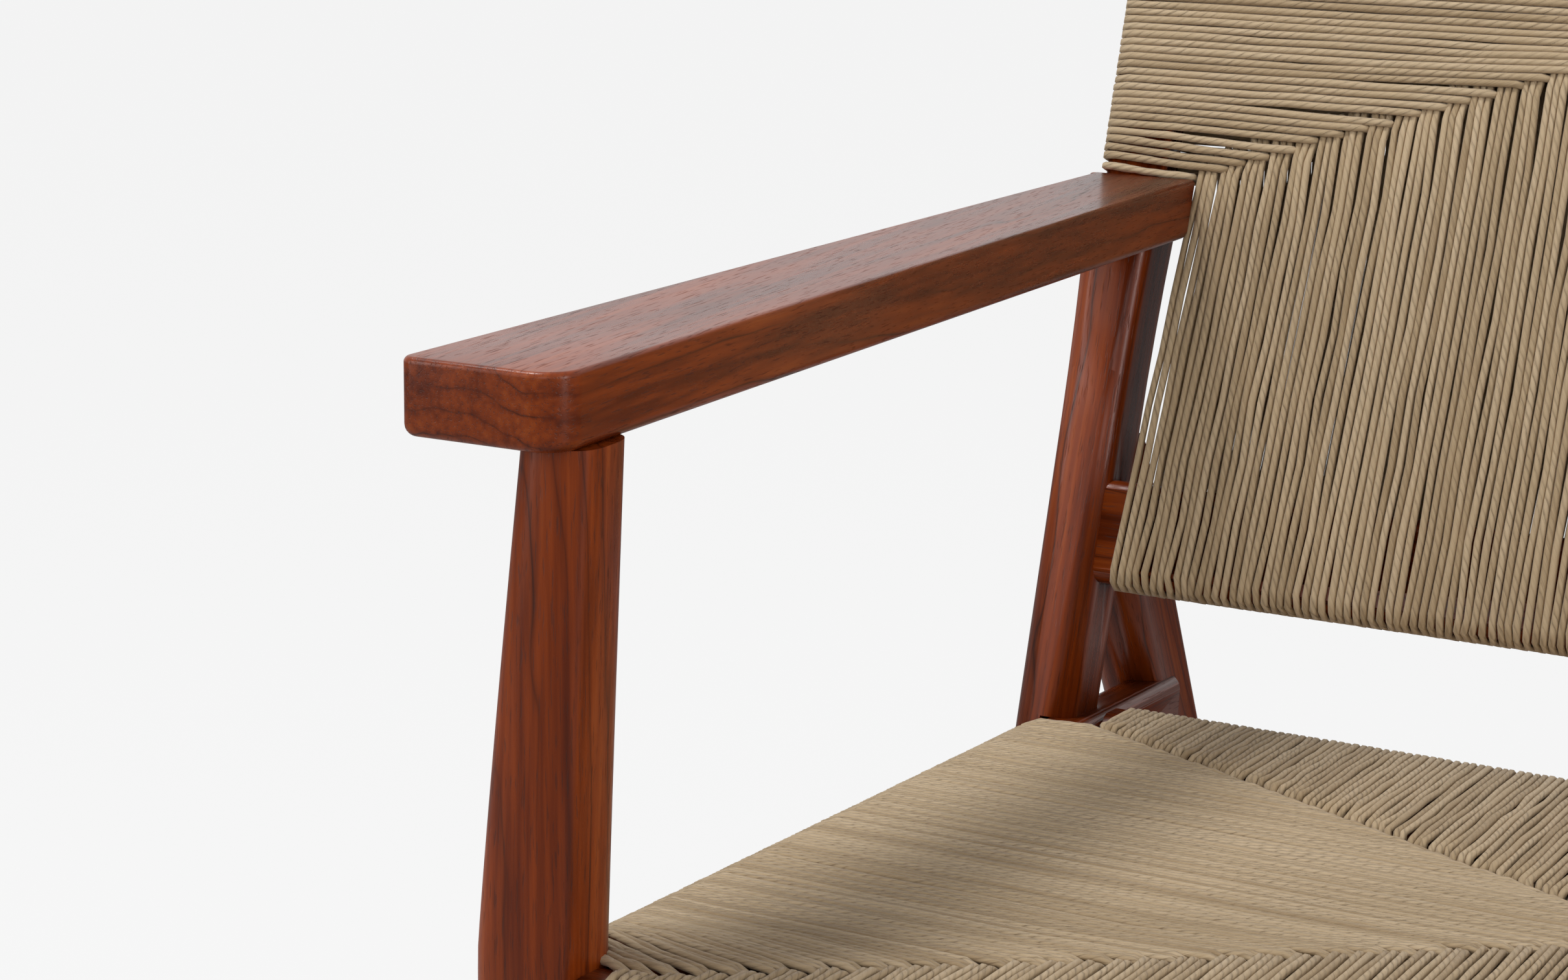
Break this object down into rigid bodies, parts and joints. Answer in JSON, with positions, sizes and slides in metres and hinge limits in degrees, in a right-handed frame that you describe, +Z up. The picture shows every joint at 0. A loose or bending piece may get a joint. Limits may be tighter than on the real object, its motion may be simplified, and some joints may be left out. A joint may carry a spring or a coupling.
{
  "type": "armchair",
  "caption": "Low lounge armchair: dark hardwood frame with flat armrests, a leaning back and raked rear legs, its seat and back woven from twisted cord.",
  "frame": {"origin": "on the floor, under the middle of the chair's bounding box", "axes": "+Z up, the sitter faces -Y, the sitter's left is +X"},
  "size_m": [0.7096, 0.77, 0.73],
  "materials": {
    "frame_wood": "glossy reddish-brown hardwood, oiled and polished",
    "paper_cord": "twisted three-ply paper cord, natural khaki",
    "dowel_wood": "plain turned dowel",
    "glide_plastic": "dark brown nylon",
    "tack_steel": "blued steel"
  },
  "bodies": {
    "root": {"front_leg_left": "frame_wood", "front_leg_right": "frame_wood", "rear_leg_left": "frame_wood", "rear_leg_right": "frame_wood", "back_post_left": "frame_wood", "back_post_right": "frame_wood", "armrest_left": "frame_wood", "armrest_right": "frame_wood", "seat_side_rail_left": "frame_wood", "seat_side_rail_right": "frame_wood", "seat_front_rail": "frame_wood", "seat_rear_rail": "frame_wood", "back_top_rail": "frame_wood", "back_bottom_rail": "frame_wood", "woven_seat": "paper_cord", "woven_back": "paper_cord", "armrest_dowels": "dowel_wood", "rear_leg_dowels": "dowel_wood", "post_foot_dowels": "dowel_wood", "foot_glides": "glide_plastic", "cord_tacks": "tack_steel"}
  },
  "joints": []
}
